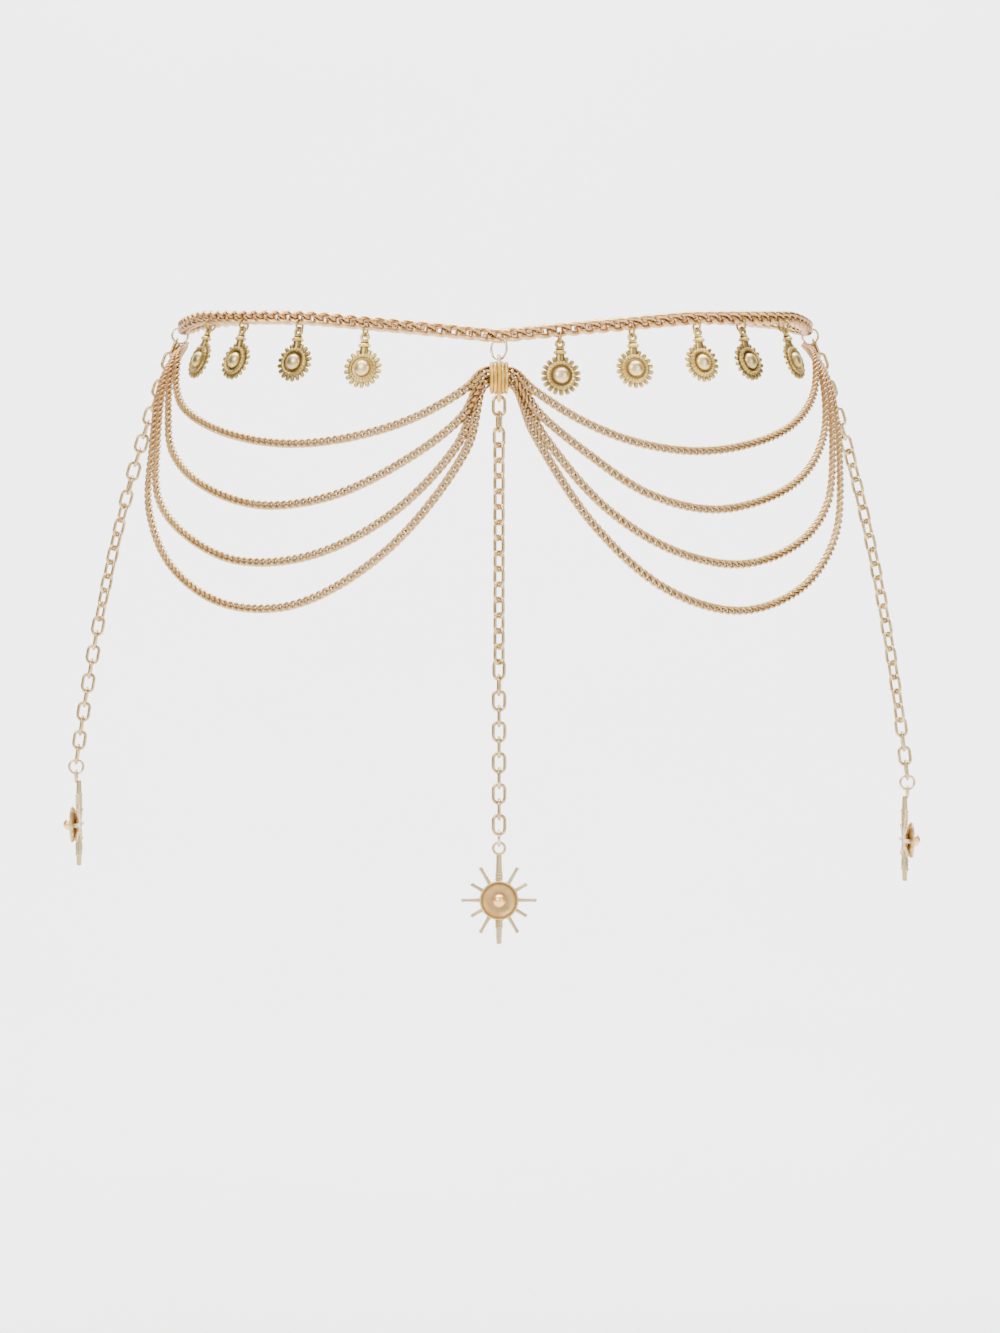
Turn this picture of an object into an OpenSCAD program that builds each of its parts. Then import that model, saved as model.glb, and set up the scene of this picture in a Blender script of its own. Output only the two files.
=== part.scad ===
// A waist chain as it is worn: a belt of flat twisted links with small sun charms,
// four swags on each side that gather under the middle, and three long drops with stars.
// Millimetres. X is to the wearer's left, -Y is the front, Z is up, and the origin is
// the middle of the waist at the height of the belt's sides.

/* [Waist] */
// Half the width of the waist that the belt goes round
waist_half_w = 134; // [126:1:142]
// From the middle of the waist to its front
waist_front = 112; // [106:1:118]
// From the middle of the waist to its back
waist_back = 95; // [89:1:101]
// How far the hip spreads sideways below the belt
hip_spread = 50; // [44:1:56]
// How far the belly spreads forward below the belt
belly_spread = 20; // [14:1:26]
// Depth over which the hip spreads
hip_fade = 110; // [95:1:125]
// How far the belt dips at the front
belt_dip = 12.5; // [9:0.5:16]

/* [Belt chain] */
// Distance from one belt link to the next
belt_pitch = 6.1; // [5.8:0.1:6.6]
// Wire of a belt link
belt_wire = 1.4; // [1.2:0.1:1.5]
// Outer width of a belt link
belt_w = 6; // [5.8:0.1:6.8]
// Height of a belt link's twist
belt_twist = 1.25; // [1.2:0.05:1.35]
// Wire of the plain oval that closes the belt at the back
clasp_wire = 1.4; // [1.2:0.1:1.5]

/* [Rings] */
// Outer diameter of the ring under the belt's middle
centre_ring_d = 9.6; // [9.2:0.1:10.4]
// Wire of the ring under the belt's middle
centre_ring_wire = 1; // [0.8:0.1:1.1]
// Outer diameter of the ring at each side of the belt
side_ring_d = 7.8; // [7.7:0.1:8.8]
// Wire of the side rings
side_ring_wire = 1; // [0.8:0.1:1.1]
// How far the side rings lean out from plumb
side_ring_lean = 60; // [50:1:65]
// Outer diameter of the ring that holds a charm
charm_ring_d = 5.5; // [5.3:0.1:6]
// Wire of the charm rings
charm_ring_wire = 0.9; // [0.7:0.1:1]
// Outer diameter of the ring that holds a star
star_ring_d = 7.2; // [6.8:0.1:7.8]
// Wire of the star rings
star_ring_wire = 1.2; // [1:0.1:1.3]

/* [Gather ring] */
// Wire of the hoops that hold the swags together
hoop_wire = 1.6; // [1.4:0.1:1.8]
// Inner width of the hoops, front to back
hoop_inner_w = 5.6; // [5.4:0.1:6.4]
// Hoops on each side of the main one
side_hoops = 2; // [1:1:3]

/* [Swags] */
// Width of a swag chain
swag_w = 3.4; // [3:0.1:3.6]
// Width of a swag chain where it is drawn through the gather ring
swag_neck = 1.8; // [1.4:0.1:1.8]
// Width of a swag chain at its outer tips
swag_tip = 1.2; // [1:0.1:1.3]

/* [Drop chains] */
// Distance from one drop link to the next
drop_pitch = 6.2; // [6:0.1:6.6]
// Wire of a drop link
drop_wire = 1.4; // [1.2:0.1:1.5]
// Outer width of a drop link
drop_w = 6; // [5.7:0.1:6.4]
// Links of the centre drop
centre_links = 28; // [26:1:30]
// Links of the left drop
left_links = 30; // [28:1:32]
// Links of the right drop
right_links = 31; // [29:1:33]

/* [Sun charms] */
// Diameter of a charm over its teeth
sun_d = 16.4; // [15:0.1:17]
// Depth of the teeth
sun_tooth = 2.2; // [1.6:0.1:2.6]
// Number of teeth
sun_teeth = 18; // [14:1:22]
// Thickness of a charm's plate
sun_plate = 1; // [0.8:0.1:1.4]
// Diameter of the raised rope round the middle
sun_rope_d = 10.6; // [9.6:0.1:11]
// Wire of the rope
sun_rope_wire = 1.2; // [0.8:0.1:1.3]
// Diameter of the dome in the middle
sun_dome_d = 7; // [6:0.1:8]
// Height of the dome
sun_dome_h = 2; // [1.4:0.1:2.6]
// Length of the neck between the teeth and the bail
sun_neck = 3.4; // [3:0.1:5]
// Wire of a charm's bail
bail_wire = 1; // [0.8:0.1:1]
// Outer diameter of a charm's bail
bail_d = 3.8; // [3.8:0.1:4.4]

/* [Stars] */
// Diameter of the plate that carries a star's rays
star_plate_d = 14; // [13:0.1:15]
// Thickness of the plate
star_plate_h = 1; // [0.8:0.1:1.4]
// Diameter of the cup's rim
star_cup_d = 15.8; // [15:0.1:17]
// Height of the cup's rim over the plate
star_cup_h = 2.9; // [2.4:0.1:3.4]
// Wall of the cup
star_cup_wall = 0.9; // [0.7:0.1:1.1]
// Diameter of the bead in the cup
star_bead_d = 5.4; // [4.6:0.1:6]
// Height of the bead's middle over the plate
star_bead_h = 4.1; // [3.6:0.1:4.6]
// From the loop's middle to the star's middle
star_stem = 20.8; // [19:0.1:23]
// Reach of the lowest ray from the star's middle
ray_low = 17.6; // [16:0.1:20]
// Reach of the level rays
ray_side = 15.2; // [14:0.1:17]
// Reach of the rays next to the level ones
ray_near_side = 13; // [12:0.1:14]
// Reach of the rays next to the upright ones
ray_near_up = 15.2; // [14:0.1:17]
// Diameter of a slim ray at its root
ray_root_d = 1.7; // [1.4:0.1:1.8]
// Diameter of a slim ray near its tip
ray_tip_d = 1.1; // [0.9:0.1:1.3]
// Diameter of the knob on a slim ray's tip
ray_knob_d = 1.5; // [1.4:0.1:1.8]
// Diameter of the two upright rays at their roots
upright_root_d = 2.8; // [2.4:0.1:3]
// Diameter of the two upright rays at their ends
upright_end_d = 1.9; // [1.6:0.1:2.2]
// Height of a rib on the upright rays
rib_h = 0.5; // [0.3:0.1:0.7]
// Distance from one rib to the next
rib_pitch = 1.1; // [0.9:0.1:1.3]
// Outer diameter of a star's loop
star_loop_d = 5.9; // [5.6:0.1:6.6]
// Wire of a star's loop
star_loop_wire = 1.2; // [1:0.1:1.3]
// How far the star sits behind its loop, so that it hangs plumb
star_back = 1.15; // [1:0.05:1.3]

/* [Hidden] */

// Clear space between two links or rings that hang in each other
play = 0.15;
// Facets of a full round, and of a round wire
$fn = 48;
wire_fn = 24;

// The belt's height at each angle from the front, as a share of its dip
belt_heights = [[0, -1], [8, -0.84], [15, -0.7], [22, -0.56], [35, -0.28], [53, -0.08],
                [67, 0.08], [78, 0.02], [86, 0.02], [94, 0.08], [102, 0.24], [110, 0.48],
                [135, 0.96], [158, 0.84], [172, 0.6], [180, 0.5]];

// Angle from the front at which each charm hangs, the wearer's right first
charm_angles = [-63, -49.5, -38, -24.5, 10, 22.5, 36, 48, 62];

// The routes of the swags, from the ring at the left of the front view to the one at its
// right: the angle from the front and the depth below the waist. The outer tips and the
// pass through the gather ring are added to each list.
swag_routes = [
    [[-72, 16], [-66.5, 29], [-60, 38.5], [-47, 49.3], [-34, 54.8], [-23, 53], [-13, 45.5],
     [-5.2, 33.9], [5.2, 34], [12, 45.7], [20, 54.3], [30, 58], [41, 54.8], [53, 45.8],
     [64.5, 31], [73, 15]],
    [[-75, 18], [-67.3, 38], [-61, 55.5], [-50, 70.5], [-37, 79.5], [-25, 76.5], [-14.5, 63.5],
     [-5.6, 45], [6, 43.4], [13.5, 60.5], [22, 75.5], [32, 81.5], [44, 76], [54.5, 64.5],
     [65, 45.5], [74, 20]],
    [[-77, 24], [-68, 52], [-62.5, 74], [-53, 89.5], [-40, 101.8], [-27, 100],
     [-15.5, 84], [-6.2, 56.5], [6.5, 52], [15, 80.5], [25, 98], [36, 103.5], [48, 95.5],
     [58.5, 78.5], [66, 54], [76, 24]],
    [[-80, 27], [-70.7, 52], [-65, 79], [-54, 104.3], [-41, 119.6], [-28.5, 119.3],
     [-15.5, 97.5], [-4.8, 58], [5.2, 52], [13.5, 88.5], [23.5, 113.5], [35, 122.3],
     [48, 113], [59.5, 91], [67.5, 61], [79, 27]]
];

// Sizes of a belt link and of a drop link, measured along the middle of the wire
belt_link_l = belt_pitch + belt_wire + 2 * play;
belt_link_w = belt_w - belt_wire;
drop_link_l = drop_pitch + drop_wire + play;
drop_link_w = drop_w - drop_wire;
clasp_l = belt_link_l + 4 * play;
clasp_w = 2 * (belt_twist + belt_wire / 2) + clasp_wire + 4 * play;

// Half widths and depths of the body at a depth below the waist
function spread_at(depth) = 1 - exp(-max(depth, 0) / hip_fade);
function half_w_at(depth) = waist_half_w + hip_spread * spread_at(depth);
function front_at(depth) = waist_front + belly_spread * spread_at(depth);

// A point on the body, from its angle from the front and its depth below the waist
function on_body(angle, depth) =
    [half_w_at(depth) * sin(angle),
     -(abs(angle) <= 90 ? front_at(depth) : waist_back) * cos(angle), -depth];

// The belt's middle line, closed, and the arc length at each degree
function belt_at(angle) =
    let (p = on_body(angle, 0)) [p.x, p.y, belt_dip * lookup(abs(angle), belt_heights)];
belt_arc = [for (a = 0, s = 0; a <= 180;
                 s = s + norm(belt_at(a + 1) - belt_at(a)), a = a + 1) [s, a]];
belt_half_l = belt_arc[180][0];
belt_half_links = round(belt_half_l / belt_pitch);
belt_step = belt_half_l / belt_half_links;
arc_at_angle = [for (row = belt_arc) [row[1], row[0]]];

// Where link number i sits, counted from the front, and its three directions
function link_angle(i) = sign(i) * lookup(abs(i) * belt_step, belt_arc);
function link_near(angle) = sign(angle) * round(lookup(abs(angle), arc_at_angle) / belt_step);
function unit(v) = v / norm(v);
function link_middle(i) = belt_at(link_angle(i));
function link_along(i) = unit(belt_at(link_angle(i) + 1) - belt_at(link_angle(i) - 1));
function link_out(i) = unit(cross(link_along(i), [0, 0, 1]));
function link_up(i) = cross(link_out(i), link_along(i));
function low_wire(i) = link_middle(i) - link_up(i) * belt_link_w / 2;

// One twisted link as rings of points round its wire
link_rings = 10;
link_sides = 5;
function twisted_line(t, l, w, h) = [l / 2 * cos(t), w / 2 * sin(t), h * sin(2 * t)];
function twisted_way(t, l, w, h) =
    unit([-l / 2 * sin(t), w / 2 * cos(t), 2 * h * cos(2 * t)]);
function twisted_link(l, w, h, wire) =
    [for (k = [0 : link_rings - 1])
        let (t = 360 * k / link_rings,
             way = twisted_way(t, l, w, h),
             side = unit(cross(way, [0, 0, 1])),
             face = cross(side, way))
        for (j = [0 : link_sides - 1])
            twisted_line(t, l, w, h)
            + wire / 2 * (cos(360 * j / link_sides) * side + sin(360 * j / link_sides) * face)];
function ring_faces(rings, sides, closed, from = 0) =
    [for (k = [0 : closed ? rings - 1 : rings - 2], j = [0 : sides - 1], half = [0, 1])
        let (a = from + k * sides + j,
             b = from + k * sides + (j + 1) % sides,
             c = from + ((k + 1) % rings) * sides + (j + 1) % sides,
             d = from + ((k + 1) % rings) * sides + j)
        half == 0 ? [a, c, b] : [a, d, c]];

// Belt links from one number to another, as one set of closed shells
module belt_links(numbers) {
    flat_link = twisted_link(belt_link_l, belt_link_w, belt_twist, belt_wire);
    points = [for (i = numbers, p = flat_link)
                 link_middle(i) + p.x * link_along(i) + p.y * link_up(i) + p.z * link_out(i)];
    faces = [for (n = [0 : len(numbers) - 1])
                 each ring_faces(link_rings, link_sides, true, n * link_rings * link_sides)];
    polyhedron(points = points, faces = faces);
}

quarter = link_near(90);
module belt_front() {
    color("rosybrown") belt_links([for (i = [-quarter : quarter]) i]);
}
module belt_back() {
    color("rosybrown")
        belt_links(concat([for (i = [quarter + 1 : belt_half_links - 1]) i],
                          [for (i = [quarter + 1 : belt_half_links - 1]) -i]));
}

// A round ring in the XZ plane
module round_ring(outer_d, wire) {
    rotate([90, 0, 0]) rotate_extrude() translate([(outer_d - wire) / 2, 0])
        circle(d = wire, $fn = wire_fn);
}

// An oval ring in the XZ plane, upright, measured along the middle of its wire
module oval_ring(l, w, wire) {
    straight = l - w;
    rotate([90, 0, 0])
        for (end = [0, 1]) {
            rotate([0, 0, 180 * end]) translate([0, straight / 2, 0])
                rotate_extrude(angle = 180) translate([w / 2, 0]) circle(d = wire, $fn = wire_fn);
            translate([w * (end - 0.5), -straight / 2, 0])
                rotate([-90, 0, 0]) cylinder(d = wire, h = straight, $fn = wire_fn);
        }
}

// The plain oval that closes the belt at the middle of the back, lying level
module clasp() {
    color("tan") translate(belt_at(180)) rotate([90, 0, 0]) rotate([0, 90, 0])
        oval_ring(clasp_l, clasp_w, clasp_wire);
}

// The drop from the low wire of a belt link to the middle of a ring that hangs on it
function hang(outer_d, wire, from_wire, slack = play) =
    (outer_d - wire) / 2 - (wire + from_wire) / 2 - slack;

centre_ring_turn = -45;
centre_ring_z = low_wire(0).z - hang(centre_ring_d, centre_ring_wire, belt_wire, 2 * play);
module centre_ring() {
    color("tan") translate([0, low_wire(0).y, centre_ring_z])
        rotate([0, 0, centre_ring_turn]) round_ring(centre_ring_d, centre_ring_wire);
}

// Heights of the gather ring's parts, downwards from the centre ring
centre_ring_low = centre_ring_z - (centre_ring_d - centre_ring_wire) / 2;
hoop_top = centre_ring_low + (centre_ring_wire + hoop_wire) / 2 + play;
side_hoop_top = centre_ring_low - (centre_ring_wire + hoop_wire) / 2 - play;
strand_step = swag_neck + 2 * play;
hoop_w = hoop_inner_w + hoop_wire;
strand_top = side_hoop_top - hoop_w / 2 + swag_neck / 2;
strand_low = strand_top - 3 * strand_step;
side_hoop_low = strand_low - hoop_w / 2 + swag_neck / 2;
drop_top = side_hoop_low - (hoop_wire + drop_wire) / 2 - play;
hoop_low = drop_top - (hoop_wire + drop_wire) / 2 - play;
// The hoops sit a little closer than their wire is thick, so that they are one piece
hoop_pitch = hoop_wire * 0.94;
pass_x = (side_hoops + 1.5) * hoop_pitch;
gather_y = low_wire(0).y;

// A tall main hoop with shorter ones soldered on each side of it
module gather_ring() {
    color("goldenrod") translate([0, gather_y, 0]) rotate([0, 0, 90]) {
        translate([0, 0, (hoop_top + hoop_low) / 2])
            oval_ring(hoop_top - hoop_low, hoop_w, hoop_wire);
        for (side = [-1, 1], i = [1 : side_hoops])
            translate([0, side * i * hoop_pitch, (side_hoop_top + side_hoop_low) / 2])
                oval_ring(side_hoop_top - side_hoop_low, hoop_w, hoop_wire);
    }
}

// The side rings hang from the belt's side links and lean out
side_ring_r = (side_ring_d - side_ring_wire) / 2;
side_ring_hang = hang(side_ring_d, side_ring_wire, belt_wire, 3 * play);
side_link_low = low_wire(quarter);
side_ring_x = side_link_low.x + side_ring_hang * sin(side_ring_lean);
side_ring_z = side_link_low.z - side_ring_hang * cos(side_ring_lean);
module side_ring(side) {
    color("tan") translate([side * side_ring_x, side_link_low.y, side_ring_z])
        round_ring(side_ring_d, side_ring_wire);
}

// A point on a side ring's wire, by its angle from the ring's lowest point
function on_side_ring(side, turn, more = 0) =
    [side * (side_ring_x + (side_ring_r + more) * sin(turn)), side_link_low.y,
     side_ring_z - (side_ring_r + more) * cos(turn)];

// The swags, as tapered tubes along their routes
tip_turns = [-41, -24, -7, 10];
function strand_tip(n, side) =
    on_side_ring(side, tip_turns[n], (side_ring_wire + swag_tip) / 2 + 2 * play);
function strand_pass(n, side) =
    [side * pass_x,
     gather_y + (0.5 - n % 2) * (hoop_inner_w / 2), strand_top - n * strand_step];
function strand_line(n) =
    let (rows = swag_routes[n], half = len(rows) / 2)
    concat([strand_tip(n, -1)],
           [for (i = [0 : half - 1]) on_body(rows[i][0], rows[i][1])],
           [strand_pass(n, -1), strand_pass(n, 1)],
           [for (i = [half : 2 * half - 1]) on_body(rows[i][0], rows[i][1])],
           [strand_tip(n, 1)]);
function strand_width(k, count) =
    let (from_tip = min(k, count - 1 - k), from_pass = abs(k - (count - 1) / 2))
    from_tip == 0 ? swag_tip
    : from_tip == 1 || from_pass < 1 ? swag_neck
    : from_tip == 2 || from_pass < 2 ? (swag_w + swag_neck) / 2
    : swag_w;
tube_sides = 8;
module strand(n) {
    line = strand_line(n);
    count = len(line);
    points = [for (k = [0 : count - 1])
                 let (way = unit(line[min(k + 1, count - 1)] - line[max(k - 1, 0)]),
                      out = unit(cross(way, abs(way.z) > 0.9 ? [0, 1, 0] : [0, 0, 1])),
                      up = cross(out, way),
                      r = strand_width(k, count) / 2)
                 for (j = [0 : tube_sides - 1])
                     line[k] + r * (cos(360 * j / tube_sides) * out
                                    + sin(360 * j / tube_sides) * up)];
    polyhedron(points = points,
               faces = concat(ring_faces(count, tube_sides, false),
                              [[for (j = [0 : tube_sides - 1]) j]],
                              [[for (j = [tube_sides - 1 : -1 : 0])
                                   (count - 1) * tube_sides + j]]));
}

// How far the drops' links have turned, beyond a quarter for each link, at each share of a drop
centre_turn = [[0, 0], [0.1, 45], [0.6, 45], [0.68, 90], [1, 90]];
left_turn = [[0, 0], [0.27, 0], [0.45, 45], [0.62, 45], [0.72, 90], [1, 90]];
right_turn = [[0, 0], [0.2, 0], [0.27, 45], [0.85, 45], [0.93, 0], [1, 0]];

// Drop links in the XZ plane turned about their length
module drop_link(roll) {
    rotate([0, 0, roll]) oval_ring(drop_link_l, drop_link_w, drop_wire);
}
function roll_at(i, links, turn) = 90 * i + lookup(i / (links - 1), turn);

module drop_chain_centre() {
    color("rosybrown")
        for (i = [0 : centre_links - 1])
            translate([0, gather_y, drop_top - drop_link_l / 2 - i * drop_pitch])
                drop_link(roll_at(i, centre_links, centre_turn));
}

// The side drops follow the hip: how far out and down they go below the side rings
side_drop_turn = 40;
left_out = 65.7;
left_fade = 170;
right_out = 58.5;
right_fade = 160;
function drop_out(down, out, fade) = out * (1 - exp(-down / fade));
function drop_slope(down, out, fade) = atan(out / fade * exp(-down / fade));
// Depths of the link middles and of the points where links meet, one pitch apart
function drop_downs(links, out, fade, step, first) =
    [for (i = 0, down = first; i < links;
          down = down + step * cos(drop_slope(down + step / 2, out, fade)), i = i + 1) down];
side_drop_start = on_side_ring(1, side_drop_turn, -(side_ring_wire + drop_wire) / 2 - play);
function side_link(down, side, out, fade) =
    [side * (side_drop_start.x + drop_out(down, out, fade)), side_drop_start.y,
     side_drop_start.z - down];
module side_drop(side, links, turn, out, fade) {
    downs = drop_downs(links, out, fade, drop_pitch,
                       drop_link_l / 2 * cos(drop_slope(drop_link_l / 4, out, fade)));
    for (i = [0 : links - 1])
        translate(side_link(downs[i], side, out, fade))
            rotate([0, -side * drop_slope(downs[i], out, fade), 0])
                drop_link(90 + roll_at(i, links, turn));
}
module drop_chain_left() {
    color("rosybrown") side_drop(-1, left_links, left_turn, left_out, left_fade);
}
module drop_chain_right() {
    color("rosybrown") side_drop(1, right_links, right_turn, right_out, right_fade);
}

// The low wire of a drop's last link
function side_last(side, links, out, fade) =
    let (downs = drop_downs(links, out, fade, drop_pitch,
                            drop_link_l / 2 * cos(drop_slope(drop_link_l / 4, out, fade))),
         down = downs[links - 1],
         slope = drop_slope(down, out, fade))
    side_link(down, side, out, fade)
    + drop_link_l / 2 * [side * sin(slope), 0, -cos(slope)];
centre_last = [0, gather_y, drop_top - drop_link_l - (centre_links - 1) * drop_pitch];
left_last = side_last(-1, left_links, left_out, left_fade);
right_last = side_last(1, right_links, right_out, right_fade);

// Each star hangs from its ring, and the ring from the last link's low wire
star_ring_hang = hang(star_ring_d, star_ring_wire, drop_wire);
star_ring_r = (star_ring_d - star_ring_wire) / 2;
star_loop_r = (star_loop_d - star_loop_wire) / 2;
loop_drop = star_ring_hang + star_ring_r - (star_ring_wire + star_loop_wire) / 2 - play
            + star_loop_r;
module star_ring(last, facing) {
    color("tan") translate([last.x, last.y, last.z - star_ring_hang])
        rotate([0, 0, facing + 90]) round_ring(star_ring_d, star_ring_wire);
}

// Reaches of the slim rays, from the lowest ray round; the upright ones have no entry
slim_rays = [[1, ray_near_up], [2, ray_near_side], [3, ray_side], [4, ray_near_side],
             [5, ray_near_up], [7, ray_near_up], [8, ray_near_side], [9, ray_side],
             [10, ray_near_side], [11, ray_near_up]];
plate_r = star_plate_d / 2;
cup_r = star_cup_d / 2;
cup_foot_r = cup_r * 0.57;
bead_stem_r = star_bead_d * 0.2;
slim_start = plate_r * 0.76;
upright_start = plate_r * 0.87;
rib_d = upright_root_d * 1.1;
first_rib = plate_r + rib_pitch;
cup_sunk = star_plate_h / 10;
stem_top = star_stem - star_loop_r;

// A shallow cup with a rim, on the front of the plate, and the bead that stands in it
module star_cup() {
    rotate_extrude() polygon([[0, 0], [cup_foot_r, 0], [cup_r, star_cup_h - star_cup_wall],
        [cup_r, star_cup_h], [cup_r - star_cup_wall, star_cup_h],
        [cup_foot_r, star_cup_wall], [0, star_cup_wall]]);
    cylinder(r = bead_stem_r, h = star_bead_h, $fn = wire_fn);
    translate([0, 0, star_bead_h]) sphere(d = star_bead_d);
}

// One of the two thick rays, with three ribs near its root
module upright_ray(reach) {
    translate([0, 0, upright_start])
        cylinder(d1 = upright_root_d, d2 = upright_end_d, h = reach - upright_start);
    for (k = [0 : 2])
        translate([0, 0, first_rib + k * rib_pitch]) cylinder(d = rib_d, h = rib_h);
}

// The star lies in the XZ plane and faces -Y, with its loop's middle at the origin
module star() {
    translate([0, star_back, -star_stem]) {
        rotate([90, 0, 0]) {
            translate([0, 0, -star_plate_h / 2]) cylinder(d = star_plate_d, h = star_plate_h);
            translate([0, 0, star_plate_h / 2 - cup_sunk]) star_cup();
        }
        for (ray = slim_rays)
            rotate([0, 180 - 30 * ray[0], 0]) {
                translate([0, 0, slim_start])
                    cylinder(d1 = ray_root_d, d2 = ray_tip_d,
                             h = ray[1] - ray_knob_d / 2 - slim_start);
                translate([0, 0, ray[1] - ray_knob_d / 2]) sphere(d = ray_knob_d, $fn = wire_fn);
            }
        upright_ray(stem_top);
        mirror([0, 0, 1]) upright_ray(ray_low);
    }
    round_ring(star_loop_d, star_loop_wire);
}
module hung_star(last, facing) {
    color("khaki") translate([last.x, last.y, last.z - loop_drop])
        rotate([0, 0, facing]) star();
}

// The charm rings and sun charms hang from the low wire of the nearest link
charm_ring_r = (charm_ring_d - charm_ring_wire) / 2;
charm_ring_hang = hang(charm_ring_d, charm_ring_wire, belt_wire, 2 * play);
bail_r = (bail_d - bail_wire) / 2;
bail_drop = charm_ring_hang + charm_ring_r - (charm_ring_wire + bail_wire) / 2 - play + bail_r;
// A charm leans out with the body between these two depths below the waist
charm_top = 4;
charm_low = 24;
module at_link(n) {
    i = link_near(charm_angles[n - 1]);
    out = link_out(i);
    spread = on_body(link_angle(i), charm_low) - on_body(link_angle(i), charm_top);
    tilt = atan(spread * out / (charm_low - charm_top));
    translate(low_wire(i)) rotate([0, 0, atan2(out.x, -out.y)]) rotate([-tilt, 0, 0])
        children();
}
module charm_ring(n) {
    color("tan") at_link(n) translate([0, 0, -charm_ring_hang]) rotate([0, 0, 90])
        round_ring(charm_ring_d, charm_ring_wire);
}

// The turned neck of a charm: half width and height, as shares of its width and length
neck_w = 4.8;
neck_sunk = sun_tooth / 3;
neck_rows = [[0, 0], [0.6, 0], [0.55, 0.52], [1, 0.62], [1, 0.76], [0.45, 0.84], [0.6, 0.92],
             [0.35, 1], [0, 1]];

// A toothed plate with a raised rope and a dome on its front
tooth_sides = [-0.2, 0.2, 0.36, 0.64];
function tooth_points(r_out, r_in, teeth) =
    [for (k = [0 : teeth - 1], side = [0 : 3])
        let (r = side < 2 ? r_out : r_in, a = 360 / teeth * (k + tooth_sides[side]))
        [r * sin(a), r * cos(a)]];
sun_r = sun_d / 2;
module sun_charm(n) {
    neck_l = sun_neck + sun_tooth + neck_sunk;
    sun_middle = -bail_drop - bail_r - sun_neck - sun_r;
    color("darkkhaki") at_link(n) {
        translate([0, 0, -bail_drop]) round_ring(bail_d, bail_wire);
        translate([0, 0, -bail_drop - bail_r - neck_l])
            rotate_extrude() polygon([for (row = neck_rows) [row[0] * neck_w / 2, row[1] * neck_l]]);
        translate([0, 0, sun_middle]) rotate([90, 0, 0]) {
            translate([0, 0, -sun_plate / 2]) linear_extrude(sun_plate)
                polygon(tooth_points(sun_r, sun_r - sun_tooth, sun_teeth));
            translate([0, 0, sun_plate / 2]) rotate_extrude()
                translate([sun_rope_d / 2, 0]) circle(d = sun_rope_wire, $fn = wire_fn);
            rotate_extrude() dome_half(sun_dome_d / 2, sun_plate / 2 + sun_dome_h);
        }
    }
}

// Half the section of a dome: a quarter of a circle segment over a flat base
module dome_half(r, h) {
    ball = (r * r + h * h) / (2 * h);
    intersection() {
        translate([0, h - ball]) circle(r = ball);
        square([r, h]);
    }
}

belt_front();
belt_back();
clasp();
centre_ring();
gather_ring();
side_ring(-1);  // side_ring_left
side_ring(1);  // side_ring_right
drop_chain_centre();
drop_chain_left();
drop_chain_right();
star_ring(centre_last, 0);  // star_ring_centre
star_ring(left_last, -90);  // star_ring_left
star_ring(right_last, 90);  // star_ring_right
hung_star(centre_last, 0);  // star_centre
hung_star(left_last, -90);  // star_left
hung_star(right_last, 90);  // star_right
color("rosybrown") strand(0);  // swag_strand_1
color("rosybrown") strand(1);  // swag_strand_2
color("rosybrown") strand(2);  // swag_strand_3
color("rosybrown") strand(3);  // swag_strand_4
sun_charm(1);  // sun_charm_1
sun_charm(2);  // sun_charm_2
sun_charm(3);  // sun_charm_3
sun_charm(4);  // sun_charm_4
sun_charm(5);  // sun_charm_5
sun_charm(6);  // sun_charm_6
sun_charm(7);  // sun_charm_7
sun_charm(8);  // sun_charm_8
sun_charm(9);  // sun_charm_9
charm_ring(1);  // charm_ring_1
charm_ring(2);  // charm_ring_2
charm_ring(3);  // charm_ring_3
charm_ring(4);  // charm_ring_4
charm_ring(5);  // charm_ring_5
charm_ring(6);  // charm_ring_6
charm_ring(7);  // charm_ring_7
charm_ring(8);  // charm_ring_8
charm_ring(9);  // charm_ring_9
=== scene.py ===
"""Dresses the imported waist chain: link chains, sun charms, stars, metal finishes and a stage."""

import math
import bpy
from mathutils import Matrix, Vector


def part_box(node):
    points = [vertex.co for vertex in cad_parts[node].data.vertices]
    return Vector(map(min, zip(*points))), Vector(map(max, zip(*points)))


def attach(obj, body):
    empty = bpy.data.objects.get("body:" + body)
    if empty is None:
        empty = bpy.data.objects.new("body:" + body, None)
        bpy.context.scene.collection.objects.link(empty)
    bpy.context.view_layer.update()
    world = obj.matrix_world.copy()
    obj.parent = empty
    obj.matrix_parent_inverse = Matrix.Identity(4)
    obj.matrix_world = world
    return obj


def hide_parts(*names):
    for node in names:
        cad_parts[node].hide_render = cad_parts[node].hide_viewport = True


bl_info = {
    "name": "Waist chain",
    "version": (1, 0, 0),
    "blender": (4, 5, 0),
    "location": "3D View > Sidebar > Waist chain",
    "description": "Builds the links, charms and stars of a waist chain round its packed frame",
    "category": "Add Mesh",
}

import bmesh
import bpy
from mathutils import Matrix, Vector

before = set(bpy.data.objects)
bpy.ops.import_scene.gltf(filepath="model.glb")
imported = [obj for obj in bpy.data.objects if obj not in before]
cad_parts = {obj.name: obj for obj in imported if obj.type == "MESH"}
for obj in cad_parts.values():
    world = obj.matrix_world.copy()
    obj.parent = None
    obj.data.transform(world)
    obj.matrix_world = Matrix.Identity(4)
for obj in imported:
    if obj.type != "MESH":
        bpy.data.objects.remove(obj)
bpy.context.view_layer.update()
MM = 0.001
ROOT = "waist_chain"
UP = Vector((0, 0, 1))
# The photograph's height and focal length in its own pixels
PHOTO_HEIGHT = 1333
FOCAL_LENGTH = 3721
# Faces that meet at more than this angle look sharp
SMOOTH_ANGLE = 40
# Noise scale of the metals' mottling, and points to a span of a smooth line
METAL_GRAIN = 900
SPAN_POINTS = 12

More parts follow.
